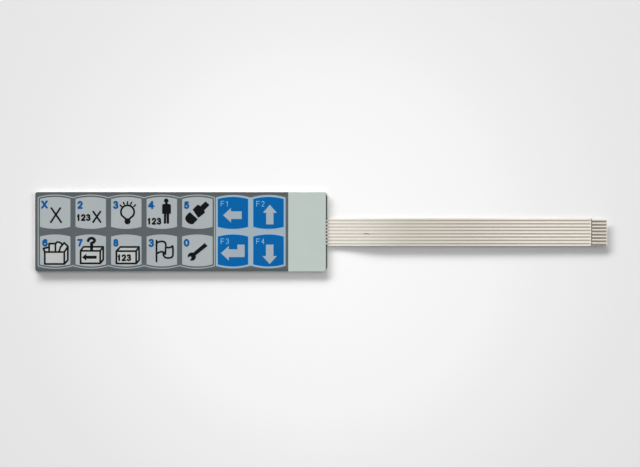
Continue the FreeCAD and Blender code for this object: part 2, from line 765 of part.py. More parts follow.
def blue_surround():
    face = scalloped_face(GREY_COLUMNS, BLUE_COLUMNS, value("blue_border"), value(level("second_print")))
    feature("print_blue_surround", face.extrude(FreeCAD.Vector(0, 0, value("print_thick"))))


# Build, check and write

def build():
    fill_sheet()
    panel_layer("release_liner", "liner_thick")
    panel_layer("rear_adhesive", "rear_glue_thick")
    backing_sheet()
    panel_layer("circuit_adhesive", "bond_thick")
    circuit_film()
    row_tracks()
    column_tracks()
    tail_cover_film()
    contact_fingers()
    tail_stiffener()
    dome_spacer()
    snap_domes()
    panel_layer("dome_retainer", "retainer_thick")
    panel_layer("overlay_adhesive", "overlay_glue_thick")
    panel_layer("overlay_film", "overlay_thick")
    dark_field()
    contour_line()
    key_fields("print_grey_keys", "second_print", 0, GREY_COLUMNS)
    blue_surround()
    key_fields("print_blue_keys", "third_print", GREY_COLUMNS, BLUE_COLUMNS)
    document.recompute()


def check():
    for item in document.Objects:
        if "Invalid" in item.State or "Error" in item.State:
            raise RuntimeError(item.Label + " failed to build")
    for part in parts:
        if part.Shape.isNull() or not part.Shape.isValid() or not part.Shape.Solids:
            raise RuntimeError(part.Label + " has no valid solid")


def write():
    os.makedirs("parts", exist_ok=True)
    for part in parts:
        part.Shape.exportStep("parts/%s.step" % part.Label)


build()
check()
write()
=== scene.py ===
"""Finishes, printed signs and setting of a flat membrane keypad with fourteen keys and a tail."""

import json
import math

import bmesh
import bpy
from bpy.props import FloatProperty, FloatVectorProperty, PointerProperty
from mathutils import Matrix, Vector
from mathutils.bvhtree import BVHTree
from mathutils.geometry import delaunay_2d_cdt


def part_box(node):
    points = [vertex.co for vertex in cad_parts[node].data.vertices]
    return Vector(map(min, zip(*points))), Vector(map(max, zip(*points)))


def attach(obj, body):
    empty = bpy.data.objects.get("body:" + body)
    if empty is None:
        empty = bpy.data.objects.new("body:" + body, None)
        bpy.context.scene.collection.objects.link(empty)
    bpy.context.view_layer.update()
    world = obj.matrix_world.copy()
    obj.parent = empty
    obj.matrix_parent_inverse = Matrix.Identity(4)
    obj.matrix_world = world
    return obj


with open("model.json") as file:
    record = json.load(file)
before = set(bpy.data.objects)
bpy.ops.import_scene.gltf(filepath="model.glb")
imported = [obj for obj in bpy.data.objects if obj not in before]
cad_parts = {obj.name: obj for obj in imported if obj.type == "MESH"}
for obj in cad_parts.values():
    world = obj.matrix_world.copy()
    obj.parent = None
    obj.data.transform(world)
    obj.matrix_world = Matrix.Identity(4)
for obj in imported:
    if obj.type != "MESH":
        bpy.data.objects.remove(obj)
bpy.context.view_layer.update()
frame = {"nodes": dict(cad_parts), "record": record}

bl_info = {
    "name": "Membrane keypad",
    "version": (1, 0, 0),
    "blender": (4, 5, 0),
    "location": "3D View > Sidebar > Keypad",
    "description": "Finishes and printed signs of a flat membrane keypad",
    "category": "Object",
}

MM = 0.001
GREY_KEYS = ("1", "2", "3", "4", "5", "6", "7", "8", "9", "0")
BLUE_KEYS = ("f1", "f2", "f3", "f4")


# Sizes and colours that a user would change

def amount(name, description, default, least=0.0, **more):
    return FloatProperty(name=name, description=description, default=default, min=least, **more)


def length(name, description, millimetres):
    return amount(name, description, millimetres * MM, unit="LENGTH", subtype="DISTANCE",
                  precision=5)


def colour(name, description, red, green, blue):
    return FloatVectorProperty(name=name, description=description, default=(red, green, blue),
                               size=3, min=0.0, max=1.0, subtype="COLOR")


class KeypadPrint(bpy.types.PropertyGroup):
    ink: length("Ink thickness", "How far a printed sign stands up", 0.015)
    face_ink: length("Face thickness", "Thickness of the pale faces inside the signs", 0.008)
    sign_line: length("Sign line", "Width of the lines of the black signs", 1.42)
    fine_line: length("Fine line", "Width of the finest lines of the signs", 1.2)
    hook_line: length("Hook line", "Width of the question mark's hook", 2.1)
    number_line: length("Number line", "Line width of the large blue numbers", 1.6)
    count_line: length("Count line", "Line width of the small black numbers", 1.4)
    label_line: length("Label line", "Line width of the labels on the blue keys", 0.45)
    rim_line: length("Rim line", "Width of the light line round each blue key", 0.9)
    blue: colour("Number blue", "Ink of the large numbers", 0.001, 0.092, 0.270)
    black: colour("Sign black", "Ink of the black signs", 0.0042, 0.0052, 0.0058)
    pale: colour("Pale face", "Ink inside the drawn boxes", 0.475, 0.492, 0.482)
    grey: colour("Arrow grey", "Ink of the large arrows", 0.340, 0.400, 0.451)
    light_blue: colour("Light blue", "Ink of the labels and rims on the blue keys",
                       0.205, 0.455, 0.710)
    mark: colour("Mark grey", "Ink of the small mark on the tail", 0.170, 0.150, 0.120)


class KeypadSetting(bpy.types.PropertyGroup):
    floor_reach: amount("Floor reach", "Half the side of the floor", 9.0, 1.0, unit="LENGTH")
    low_power: amount("Low window", "Power of the lower light in watts", 7100.0)
    high_power: amount("High window", "Power of the upper light in watts", 172.0)
    side_power: amount("Side window", "Power of the light from the right in watts", 1350.0)
    sky: amount("Sky light", "Strength of the even light from all round", 0.165)
    backdrop: amount("Backdrop", "Grey level of the background behind the floor", 0.84, max=1.0)
    camera_height: amount("Camera height", "Height of the camera above the floor", 2.6, 0.5,
                          unit="LENGTH")


# Node trees

class Wire:
    """One socket of a node tree. Arithmetic on wires adds Math nodes."""

    def __init__(self, bench, socket):
        self.bench = bench
        self.socket = socket

    def __add__(self, other):
        return self.bench.math("ADD", self, other)

    def __radd__(self, other):
        return self.bench.math("ADD", other, self)

    def __sub__(self, other):
        return self.bench.math("SUBTRACT", self, other)

    def __rsub__(self, other):
        return self.bench.math("SUBTRACT", other, self)

    def __mul__(self, other):
        return self.bench.math("MULTIPLY", self, other)

    def __truediv__(self, other):
        return self.bench.math("DIVIDE", self, other)


class Bench:
    """A node tree. A node's settings are set first, then the values or wires of its sockets."""

    def __init__(self, tree):
        self.tree = tree

    def add(self, kind, settings=None, inputs=None, output=0):
        node = self.tree.nodes.new(kind)
        for name, setting in (settings or {}).items():
            if name == "stops":
                self._set_stops(node.color_ramp, setting)
            else:
                setattr(node, name, setting)
        for name, given in (inputs or {}).items():
            if isinstance(given, Wire):
                self.tree.links.new(given.socket, node.inputs[name])
            else:
                node.inputs[name].default_value = given
        return Wire(self, node.outputs[output]) if node.outputs else node

    def _set_stops(self, ramp, stops):
        while len(ramp.elements) < len(stops):
            ramp.elements.new(1.0)
        for element, (place, tone) in zip(ramp.elements, stops):
            element.position = place
            element.color = (*tone, 1.0) if isinstance(tone, tuple) else (tone, tone, tone, 1.0)

    def math(self, operation, first, second):
        return self.add("ShaderNodeMath", {"operation": operation}, {0: first, 1: second})

    def blend(self, factor, first, second):
        """A colour between two colours."""
        factor_in, first_in, second_in, colour_out = 0, 6, 7, 2
        colours = [given if isinstance(given, Wire) else (*given, 1.0) for given in (first, second)]
        return self.add("ShaderNodeMix", {"data_type": "RGBA"},
                        {factor_in: factor, first_in: colours[0], second_in: colours[1]},
                        colour_out)

    def between(self, value, low, high, start=0.0, end=1.0, smooth=False):
        """The value's place from low to high, as a number from start to end."""
        kind = "SMOOTHSTEP" if smooth else "LINEAR"
        return self.add("ShaderNodeMapRange", {"interpolation_type": kind},
                        {"Value": value, "From Min": low, "From Max": high,
                         "To Min": start, "To Max": end})

    def band(self, value, start, full, past_full, end):
        """One from full to past_full, and nought before start and after end."""
        return self.between(value, start, full) * self.between(value, past_full, end, 1.0, 0.0)


class Finish(Bench):
    """A material: object coordinates, a few patterns and one shader."""

    def __init__(self, name):
        self.material = bpy.data.materials.new(name)
        self.material.use_nodes = True
        super().__init__(self.material.node_tree)
        self.tree.nodes.clear()
        self.place = self.add("ShaderNodeTexCoord", output="Object")

    def axis(self, name):
        return self.add("ShaderNodeSeparateXYZ", None, {"Vector": self.place}, name)

    def noise(self, features, detail=2.0, x_scale=None):
        """Noise from 0 to 1, its features so many metres across. x_scale draws them out on X."""
        place = self.place
        if x_scale:
            place = self.add("ShaderNodeMapping", None,
                             {"Vector": place, "Scale": (x_scale, 1.0, 1.0)})
        return self.add("ShaderNodeTexNoise", None,
                        {"Vector": place, "Scale": 1.0 / features, "Detail": detail})

    def stretch(self, noise, start=0.0, end=1.0):
        """Noise, which mostly lies near its middle, as a number from start to end."""
        return self.between(noise, 0.3, 0.7, start, end)

    def bump(self, height, depth, strength):
        return self.add("ShaderNodeBump", None,
                        {"Height": height, "Distance": depth, "Strength": strength}, "Normal")

    def shade(self, **sockets):
        """Closes the tree with one Principled shader. An underscore in a name means a space."""
        inputs = {name.replace("_", " "): given for name, given in sockets.items()}
        shader = self.add("ShaderNodeBsdfPrincipled", None, inputs)
        self.add("ShaderNodeOutputMaterial", None, {"Surface": shader})
        return self.material


def scaled(tone, factor):
    return tuple(min(1.0, part * factor) for part in tone)


# Finishes of the panel's layers

BLOTCH = 22 * MM
SOFT_GRAIN = 1.6 * MM
FINE_GRAIN = 0.22 * MM
TRACK_PITCH = 2.54 * MM
# Painted shade along the outer border of the dark field
BORDER_SHADE = (0.086, 0.096, 0.103)
# Painted shade at the overlay's cut edge
CUT_EDGE_SHADE = (0.08, 0.09, 0.085)


def satin(finish, roughness, gloss=0.3):
    """Sockets for the fine tooth of textured film or screen-printed ink."""
    tooth, spread = finish.noise(FINE_GRAIN), 0.06
    return {
        "Roughness": finish.between(tooth, 0.25, 0.75, roughness - spread, roughness + spread),
        "Normal": finish.bump(tooth, 0.004 * MM, 0.6),
        "Specular_IOR_Level": gloss,
    }


def satin_ink(name, tone, unevenness=0.03, roughness=0.52, gloss=0.3):
    """Satin ink, slightly cloudy."""
    finish = Finish(name)
    cloud = finish.noise(BLOTCH, 3.0)
    grain = finish.noise(SOFT_GRAIN)
    tint = finish.stretch(cloud * 0.75 + grain * 0.25)
    return finish.shade(
        Base_Color=finish.blend(tint, scaled(tone, 1 - unevenness), scaled(tone, 1 + unevenness)),
        **satin(finish, roughness, gloss),
    )


def dark_ink():
    """The dark field: painted shade makes it a touch darker along its outer border than between the
    keys.
    """
    finish = Finish("dark_ink")
    low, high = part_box("print_dark_field")
    x, y = finish.axis("X"), finish.axis("Y")
    inwards = x - low.x
    for distance in (y - low.y, high.y - y):
        inwards = finish.math("MINIMUM", inwards, distance)
    # Painted shade: the field darkens within 2.6 mm of its outer border
    clear_of_border_shade = finish.between(inwards, 1.0 * MM, 2.6 * MM)
    cloud = finish.noise(BLOTCH, 3.0)
    field = finish.blend(finish.stretch(cloud),
                         (0.094, 0.112, 0.122), (0.104, 0.123, 0.132))
    return finish.shade(
        Base_Color=finish.blend(clear_of_border_shade, BORDER_SHADE, field),
        **satin(finish, 0.50),
    )


def overlay_polyester():
    """The bare end of the overlay. Painted shade darkens its cut edge, most between the tracks of
    the tail, where it also stands in for the dark sheet seen through the tail film.
    """
    finish = Finish("overlay_polyester")
    x, y = finish.axis("X"), finish.axis("Y")
    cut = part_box("overlay_film")[1].x
    low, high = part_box("tail_cover_film")
    at_tail = finish.band(y, low.y, low.y + 0.2 * MM, high.y - 0.2 * MM, high.y)
    from_gap = finish.math("PINGPONG", y - (low.y + high.y) / 2, TRACK_PITCH / 2)
    gap = finish.between(from_gap, 0.45 * MM, 0.7 * MM, 1.0, 0.0)
    cloud = finish.noise(BLOTCH, 3.0)
    sheet = finish.blend(finish.stretch(cloud),
                         (0.481, 0.543, 0.511), (0.499, 0.561, 0.529))
    off_tracks = 1 - at_tail * (1 - gap)
    # Painted shade: a soft falloff towards the cut edge, a dark line along the edge away from the
    # tracks, and, between the tail's tracks, a deeper dark that also stands in for the dark sheet
    # below
    rounded_edge_shade = finish.between(x, cut - 1.0 * MM, cut - 0.3 * MM, 0.0, 0.25, smooth=True)
    edge = finish.between(x, cut - 0.28 * MM, cut - 0.18 * MM, 0.0, 0.75) * off_tracks
    gap_shade = finish.between(x, cut - 0.6 * MM, cut - 0.4 * MM) * at_tail * gap
    return finish.shade(
        Base_Color=finish.blend(rounded_edge_shade + edge + gap_shade, sheet, CUT_EDGE_SHADE),
        **satin(finish, 0.52),
    )


def liner_paper():
    """Siliconised paper: faint fibres and a soft sheen."""
    finish = Finish("liner_paper")
    fibre = finish.noise(0.5 * MM, 4.0, x_scale=0.25)
    cloud = finish.noise(9 * MM, 3.0)
    return finish.shade(
        Base_Color=finish.blend(fibre * 0.6 + cloud * 0.4, (0.77, 0.75, 0.69), (0.84, 0.82, 0.77)),
        Roughness=finish.stretch(fibre, 0.34, 0.46),
        Normal=finish.bump(fibre, 0.006 * MM, 0.5),
        Coat_Weight=0.3,
        Coat_Roughness=0.3,
    )


def adhesive():
    """Clear acrylic adhesive, seen only as a thin yellowish edge."""
    finish = Finish("adhesive")
    ripple = finish.noise(0.8 * MM, 3.0)
    return finish.shade(
        Base_Color=finish.blend(ripple, (0.50, 0.48, 0.41), (0.60, 0.58, 0.51)),
        Roughness=finish.stretch(ripple, 0.18, 0.32),
        Normal=finish.bump(ripple, 0.01 * MM, 0.5),
    )


def backing():
    """The dark sheet under the circuit: plain matt film with a fine rolled grain."""
    finish = Finish("backing")
    grain = finish.noise(0.4 * MM, 3.0)
    cloud = finish.noise(15 * MM)
    return finish.shade(
        Base_Color=finish.blend(cloud, (0.028, 0.031, 0.030), (0.036, 0.040, 0.038)),
        Roughness=finish.stretch(grain, 0.48, 0.6),
        Normal=finish.bump(grain, 0.006 * MM, 0.5),
    )


def clear_sheet(name, tone, roughness):
    """Milky polyester inside the panel, cut cleanly at its edges."""
    finish = Finish(name)
    cloud = finish.noise(6 * MM, 3.0)
    streak = finish.noise(0.3 * MM)
    return finish.shade(
        Base_Color=finish.blend(cloud, scaled(tone, 0.96), scaled(tone, 1.04)),
        Roughness=finish.stretch(streak, roughness - 0.05, roughness + 0.05),
        Normal=finish.bump(streak, 0.002 * MM, 0.5),
    )


def dome_steel():
    """Spring steel with rolling lines along the strip that the domes are pressed from."""
    finish = Finish("dome_steel")
    lines = finish.noise(0.06 * MM, 3.0, x_scale=0.03)
    smudge = finish.noise(4 * MM, 3.0)
    return finish.shade(
        Base_Color=finish.blend(smudge, (0.53, 0.52, 0.50), (0.63, 0.62, 0.60)),
        Metallic=1.0,
        Roughness=finish.stretch(lines, 0.2, 0.36),
        Normal=finish.bump(lines, 0.001 * MM, 0.5),
    )


# Finishes of the tail

COVER_END_SHADE = (0.165, 0.146, 0.12)
DARK_SHEET_BELOW = (0.030, 0.029, 0.024)
# Painted light: silver brightened where the tail leaves the panel, in the panel's shadow
SILVER_LIT_AT_PANEL = (0.95, 0.92, 0.86)


def tail_start():
    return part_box("overlay_film")[1].x


def contacts_start():
    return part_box("contact_fingers")[0].x


def along_tail(finish, stops):
    """A tone that changes along the tail, whose places are given in millimetres from the panel; it
    carries painted sheen and shade.
    """
    reach = contacts_start() - tail_start()
    x = finish.axis("X")
    places = tuple((place * MM / reach, tone) for place, tone in stops)
    return finish.add("ShaderNodeValToRGB", {"stops": places}, {"Fac": (x - tail_start()) / reach})


def past_cover(finish):
    """The thin line of shade that the end of the cover film draws across the tail."""
    start = contacts_start()
    return finish.band(finish.axis("X"), start - 0.35 * MM, start - 0.3 * MM,
                       start + 0.45 * MM, start + 0.5 * MM)


def circuit_polyester():
    """Cream film with painted sheen and shade along the tail, dullest over its crest, and dark
    where it crosses the dark sheet's edge.
    """
    finish = Finish("circuit_polyester")
    x = finish.axis("X")
    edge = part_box("backing_sheet")[1].x
    past_edge = finish.between(x, edge + 0.15 * MM, edge + 0.35 * MM)
    cloud = finish.noise(12 * MM)
    grain = finish.noise(0.5 * MM)
    # Painted sheen and shade along the tail: bright by the panel, dull over the crest, bright again
    # towards the contacts
    tone = along_tail(finish, (
        (0, (0.93, 0.88, 0.80)), (34, (0.80, 0.76, 0.69)), (64, (0.70, 0.66, 0.58)),
        (110, (0.76, 0.71, 0.63)), (160, (0.90, 0.84, 0.76)), (200, (0.90, 0.83, 0.74))))
    bare = finish.between(x, contacts_start() - 0.1 * MM, contacts_start())
    tone = finish.blend(bare, tone, (0.80, 0.74, 0.66))
    tone = finish.blend(cloud * 0.1, tone, (0.66, 0.62, 0.55))
    tone = finish.blend(past_edge, DARK_SHEET_BELOW, tone)
    return finish.shade(
        Base_Color=finish.blend(past_cover(finish), tone, COVER_END_SHADE),
        Roughness=finish.stretch(grain, 0.2, 0.3),
        Normal=finish.bump(grain, 0.002 * MM, 0.4),
    )


def silver_print():
    """Matt silver ink: fine metallic grain, with painted light making it brightest where the tail
    leaves the panel, and painted sheen and shade along the tail.
    """
    finish = Finish("silver_print")
    x = finish.axis("X")
    flake = finish.noise(0.12 * MM, 3.0)
    cloud = finish.noise(5 * MM)
    # Painted sheen and shade along the tail: brightest near the panel, dullest past the crest
    tone = along_tail(finish, (
        (0, (0.60, 0.58, 0.52)), (26, (0.60, 0.58, 0.52)), (64, (0.46, 0.435, 0.375)),
        (110, (0.375, 0.35, 0.30)), (200, (0.42, 0.395, 0.345))))
    # Painted light: the first millimetre of the tracks, in the panel's shadow, is brightened
    lit_mouth = finish.between(x, tail_start() + 0.9 * MM, tail_start() + 1.1 * MM)
    tone = finish.blend(lit_mouth, SILVER_LIT_AT_PANEL, tone)
    tone = finish.blend(cloud * 0.15, tone, (0.48, 0.45, 0.40))
    return finish.shade(
        Base_Color=finish.blend(past_cover(finish), tone, COVER_END_SHADE),
        Metallic=0.1,
        Roughness=finish.stretch(flake, 0.42, 0.6),
        Normal=finish.bump(flake, 0.003 * MM, 0.5),
    )


def cover_film():
    """Clear laminate: hardly seen but for its gloss and a painted highlight, a pale band just
    before its cut end where the film lifts.
    """
    finish = Finish("cover_film")
    x = finish.axis("X")
    end = contacts_start()
    # Painted highlight: a pale, less clear band just before the film's cut end
    lifted_edge_highlight = finish.between(x, end - 1.8 * MM, end - 0.9 * MM, smooth=True) * finish.between(
        x, end - 0.4 * MM, end - 0.3 * MM, 1.0, 0.0)
    ripple = finish.noise(18 * MM)
    return finish.shade(
        Base_Color=finish.blend(lifted_edge_highlight, (0.80, 0.77, 0.70), (0.95, 0.93, 0.88)),
        Alpha=0.05 + lifted_edge_highlight * 0.2,
        Roughness=finish.stretch(ripple, 0.08, 0.16),
        Normal=finish.bump(ripple, 0.05 * MM, 0.5),
    )


def carbon_print():
    """Carbon ink over silver: dark, with a painted sheen that makes it a little lighter towards the
    tail's end.
    """
    finish = Finish("carbon_print")
    x = finish.axis("X")
    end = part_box("contact_fingers")[1].x
    # Painted sheen: lighter over the last 8 mm towards the tail's end
    end_sheen = finish.between(x, end - 8 * MM, end)
    grain = finish.noise(0.25 * MM, 3.0)
    tone = finish.blend(end_sheen, (0.210, 0.180, 0.150), (0.275, 0.240, 0.205))
    tone = finish.blend(grain * 0.3, tone, (0.33, 0.30, 0.26))
    return finish.shade(
        Base_Color=finish.blend(past_cover(finish), tone, COVER_END_SHADE),
        Roughness=finish.stretch(grain, 0.45, 0.62),
        Normal=finish.bump(grain, 0.004 * MM, 0.5),
    )


FINISHES = {
    "liner_paper": liner_paper,
    "adhesive": adhesive,
    "backing": backing,
    "circuit_polyester": circuit_polyester,
    "cover_film": cover_film,
    "carbon_print": carbon_print,
    "stiffener_polyester": lambda: clear_sheet("stiffener_polyester", (0.70, 0.66, 0.58), 0.3),
    "spacer_polyester": lambda: clear_sheet("spacer_polyester", (0.72, 0.72, 0.70), 0.35),
    "dome_steel": dome_steel,
    "silver_print": silver_print,
    "overlay_polyester": overlay_polyester,
    "dark_ink": dark_ink,
    "key_grey_ink": lambda: satin_ink("key_grey_ink", (0.384, 0.418, 0.430)),
    "surround_ink": lambda: satin_ink("surround_ink", (0.348, 0.410, 0.450)),
    "blue_ink": lambda: satin_ink("blue_ink", (0.002, 0.114, 0.352), 0.05, gloss=0.18),
}


# Drawing in millimetres from a key's middle, x to the right and y upwards

def arc(x, y, reach_x, reach_y, start, end, steps=14):
    """Points along part of an ellipse, between two angles in degrees."""
    angles = [math.radians(start + (end - start) * i / steps) for i in range(steps + 1)]
    return [(x + reach_x * math.cos(angle), y + reach_y * math.sin(angle)) for angle in angles]


def smooth(points):
    """A soft curve through the points."""
    steps = 5
    ends = [points[0]] + points + [points[-1]]
    curve = []
    for before, here, there, after in zip(ends, ends[1:], ends[2:], ends[3:]):
        for step in range(steps):
            t = step / steps
            curve.append(tuple(
                0.5 * (2 * b + (c - a) * t + (2 * a - 5 * b + 4 * c - d) * t ** 2
                       + (3 * b - a - 3 * c + d) * t ** 3)
                for a, b, c, d in zip(before, here, there, after)))
    return curve + [points[-1]]


def loop(points):
    return points + [points[0]]


def disc(x, y, radius):
    sides = 24
    return arc(x, y, radius, radius, 0, 360 * (sides - 1) / sides, sides - 1)


def block(left, low, right, high):
    return [(left, low), (right, low), (right, high), (left, high)]


# Characters in a box one unit wide and one high
CHARACTERS = {
    "0": [loop(arc(0.5, 0.5, 0.5, 0.5, 90, 450, 20))],
    "1": [[(0.05, 0.74), (0.3, 0.82), (0.5, 1), (0.5, 0)]],
    "2": [arc(0.5, 0.7, 0.5, 0.3, 165, -35) + [(0, 0), (1, 0)]],
    "3": [arc(0.46, 0.76, 0.46, 0.24, 155, -90) + arc(0.46, 0.26, 0.54, 0.26, 90, -155)],
    "4": [[(0.7, 0), (0.7, 1), (0, 0.3), (1, 0.3)]],
    "5": [[(0.92, 1), (0.2, 1), (0.1, 0.5)] + arc(0.46, 0.33, 0.54, 0.33, 130, -150)],
    "6": [arc(0.55, 0.5, 0.55, 0.5, 50, 180, 8), loop(arc(0.5, 0.32, 0.5, 0.32, 180, 540, 18))],
    "7": [[(0, 1), (1, 1), (0.55, 0.45), (0.35, 0)]],
    "8": [loop(arc(0.5, 0.76, 0.42, 0.24, 0, 360, 18)),
          loop(arc(0.5, 0.27, 0.5, 0.27, 0, 360, 18))],
    "F": [[(0, 0), (0, 1), (1, 1)], [(0, 0.5), (0.85, 0.5)]],
    "x": [[(0, 0), (1, 1)], [(0, 1), (1, 0)]],
}


def written(character, left, low, width, height, line):
    """The paths of one character whose printed lines fill the given box."""
    half = line / MM / 2
    across, up = width - 2 * half, height - 2 * half
    return [[(left + half + x * across, low + half + y * up) for x, y in path]
            for path in CHARACTERS[character]]


# Character, start and width of each of the three small numbers
SMALL_COUNT = (("1", 0.0, 2.7), ("2", 3.1, 3.6), ("3", 7.0, 3.6))
SMALL_COUNT_HEIGHT = 5.4


def small_count(left, low, line):
    """The numbers one, two and three in a row, as on three of the keys."""
    paths = []
    for character, start, width in SMALL_COUNT:
        paths += written(character, left + start, low, width, SMALL_COUNT_HEIGHT, line)
    return paths


# The black signs: their lines, their fine lines, filled areas and pale faces, for each key

def cross_sign():
    return {"lines": [[(-3.0, 3.7), (4.6, -7.2)], [(3.9, 3.7), (-3.4, -7.2)]]}


def count_cross_sign():
    return {"lines": [[(1.9, 1.0), (7.6, -7.1)], [(7.4, 1.0), (1.8, -7.1)]],
            "counts": [(-10.7, -6.25)]}


def bulb_sign():
    glass = [(0.2, -5.1)] + arc(0.95, 0.7, 5.1, 5.15, 214, -34, 22) + [(1.8, -5.1)]
    rays = [[(0.9, 8.4), (0.9, 7.2)], [(-2.2, 8.0), (-1.6, 6.7)], [(4.1, 8.0), (3.4, 6.7)],
            [(-4.7, 6.0), (-3.6, 4.9)], [(7.1, 6.1), (5.8, 5.0)]]
    base = [disc(0.95, -6.5, 2.35), block(-0.3, -6.0, 2.3, -4.7)]
    return {"lines": [glass], "fine": rays, "areas": base}


def person_sign():
    body = [(1.6, 7.0), (5.4, 7.0), (6.6, 6.6), (7.0, 5.9), (7.0, -0.7), (5.6, -0.7), (5.6, -8.2),
            (3.7, -8.2), (3.6, -0.9), (3.4, -0.9), (3.3, -8.2), (1.5, -8.2), (1.6, -0.7),
            (0.2, -0.7), (0.2, 5.9), (0.5, 6.6)]
    head, neck = disc(3.4, 9.4, 1.75), block(2.6, 6.8, 4.4, 8.4)
    return {"areas": [head, neck, body], "counts": [(-11.0, -9.1)]}


def tool_sign():
    cup = [(-5.7, 0.6), (0.3, -4.9), (-3.0, -8.3), (-3.9, -8.8), (-5.1, -8.7), (-7.0, -8.0),
           (-8.4, -6.7), (-9.3, -4.9), (-9.4, -4.0), (-8.8, -2.4), (-7.2, -0.5)]
    body = [(-3.7, 2.6), (0.0, 6.2), (1.0, 6.2), (2.3, 5.2), (6.0, 8.6), (6.8, 8.5), (9.0, 6.4),
            (9.0, 5.7), (5.2, 2.0), (5.9, 0.6), (5.6, -0.1), (0.7, -3.9)]
    return {"areas": [cup, body]}


def open_box_sign():
    front = block(-8.0, -10.4, 7.0, -1.2)
    side = [(7.0, -1.2), (9.7, 2.9), (9.7, -7.3), (7.0, -10.4)]
    flap = [(-8.0, -1.2), (-9.1, 1.5), (-4.7, 2.5)]
    first = [(-4.7, -1.2), (-4.7, 5.3), (0.2, 5.3), (0.2, -1.2)]
    second = smooth([(0.3, 5.0), (1.3, 6.4), (2.9, 6.3), (4.2, 5.8), (5.2, 4.6)])
    third = [(2.9, -1.2), (4.1, 2.6), (6.9, 5.9), (9.7, 3.2)]
    return {
        "lines": [loop(front), side, flap, first, second, third],
        "faces": [front, side, first, flap + [(-4.7, -1.2)], third + [(7.0, -1.2)],
                  [(0.2, -1.2), (0.2, 5.0)] + second + [(4.1, 2.6), (2.9, -1.2)]],
    }


def asking_box_sign():
    front = block(-7.8, -9.9, 7.3, -0.3)
    lid = [(-7.8, -0.3), (-5.6, 2.8), (9.6, 2.8), (7.3, -0.3)]
    side = [(9.6, 2.8), (9.6, -7.0), (7.3, -9.9)]
    hook = smooth([(-2.0, 7.4), (-1.3, 8.8), (0.6, 9.5), (2.4, 8.8), (3.0, 7.5), (2.2, 6.4),
                   (0.9, 5.8)])
    return {
        "lines": [loop(front), lid, side],
        "hooks": [hook],
        "areas": [block(-0.5, -0.3, 1.8, 6.3)],
        "faces": [front, lid, side + [(7.3, -0.3)]],
        "arrows": [(-6.8, -5.2, 180, 11.3, 2.3, 3.4, 5.5)],
    }


def count_box_sign():
    front = block(-7.6, -10.0, 7.6, -0.5)
    lid = [(-7.6, -0.5), (-4.5, 2.7), (9.8, 2.7), (7.6, -0.5)]
    side = [(9.8, 2.7), (9.8, -7.4), (7.6, -10.0)]
    return {"lines": [loop(front), lid, side], "faces": [front, lid, side + [(7.6, -0.5)]],
            "counts": [(-6.8, -8.3)]}


def flag_sign():
    top = smooth([(-3.8, 5.7), (-2.3, 6.6), (0.0, 7.0), (1.8, 6.6), (2.8, 5.7), (3.1, 4.3),
                  (3.0, 2.2), (2.8, -0.4), (2.7, -2.8)])
    far = smooth([(3.2, 2.3), (4.8, 2.2), (6.5, 2.4), (8.2, 3.4)])
    back = smooth([(8.3, 3.5), (8.5, 2.2), (8.6, -0.8), (8.5, -3.7), (7.9, -5.0), (6.6, -5.6),
                   (4.8, -5.8), (2.9, -5.5), (1.8, -4.6), (1.2, -3.5), (1.3, -1.9)])
    low = smooth([(-3.8, -2.5), (-2.3, -1.5), (-0.4, -1.0), (0.9, -1.2), (1.8, -1.9), (2.5, -2.7)])
    return {"lines": [[(-4.1, 7.6), (-4.1, -8.5)], top, far, back, low]}


def spanner_sign():
    handle = [(5.5, 5.8), (7.9, 3.4), (6.5, 2.4), (-1.2, -3.7), (-3.4, -1.9), (4.6, 4.9)]
    jaw = [(-5.6, -4.4), (-4.4, -5.4), (-6.2, -8.3), (-8.6, -6.3)]
    return {"areas": [disc(-4.3, -4.7, 3.2), handle], "bare": [jaw]}


SIGNS = {
    "1": cross_sign,
    "2": count_cross_sign,
    "3": bulb_sign,
    "4": person_sign,
    "5": tool_sign,
    "6": open_box_sign,
    "7": asking_box_sign,
    "8": count_box_sign,
    "9": flag_sign,
    "0": spanner_sign,
}

# The large number on each grey key: the character, then left, low, width and height
NUMBERS = {
    "1": ("x", -10.8, 3.2, 5.1, 6.5),
    "2": ("2", -10.3, 3.0, 4.1, 6.3),
    "3": ("3", -10.2, 3.0, 4.2, 6.3),
    "4": ("4", -10.7, 2.8, 5.1, 6.6),
    "5": ("5", -10.4, 3.0, 4.2, 5.9),
    "6": ("6", -10.0, 2.9, 4.3, 6.0),
    "7": ("7", -10.5, 2.9, 4.4, 6.0),
    "8": ("8", -10.1, 2.9, 4.1, 6.0),
    "9": ("3", -10.2, 2.5, 4.2, 6.5),
    "0": ("0", -10.6, 2.8, 4.5, 6.2),
}

# Large arrows: tip x and y, heading in degrees, then length and shaft, head length and head width
ARROWS = {
    "f1": (-7.6, -1.75, 180, 14.35, 5.9, 6.1, 11.1),
    "f2": (1.05, 6.3, 90, 15.1, 5.6, 6.2, 10.6),
    "f3": (-9.3, -2.1, 180, 18.3, 6.0, 6.1, 11.1),
    "f4": (0.95, -10.5, 270, 15.0, 5.8, 6.2, 11.2),
}
ENTER_RISER = (3.4, 0.5, 9.0, 4.5)

# The label of a blue key: left, low, width and height of its letter and of its number
LABEL_LETTER = (-9.4, 4.9, 2.8, 4.3)
LABEL_NUMBER = (-5.4, 4.9, 2.3, 4.3)

# The mark on the tail, from the frame's origin
MARK_PATH = [(141.4, -1.35), (143.0, -1.5), (144.8, -1.75)]
MARK_LINE = 0.55 * MM


def key_middle(key):
    """The middle of a key is the middle of the dome under it."""
    low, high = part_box("dome_" + key)
    return (low.x + high.x) / 2 / MM, (low.y + high.y) / 2 / MM


def on_key(key, shapes):
    x, y = key_middle(key)
    return [[(x + px, y + py) for px, py in shape] for shape in shapes]


# Geometry trees for printed lines and arrows

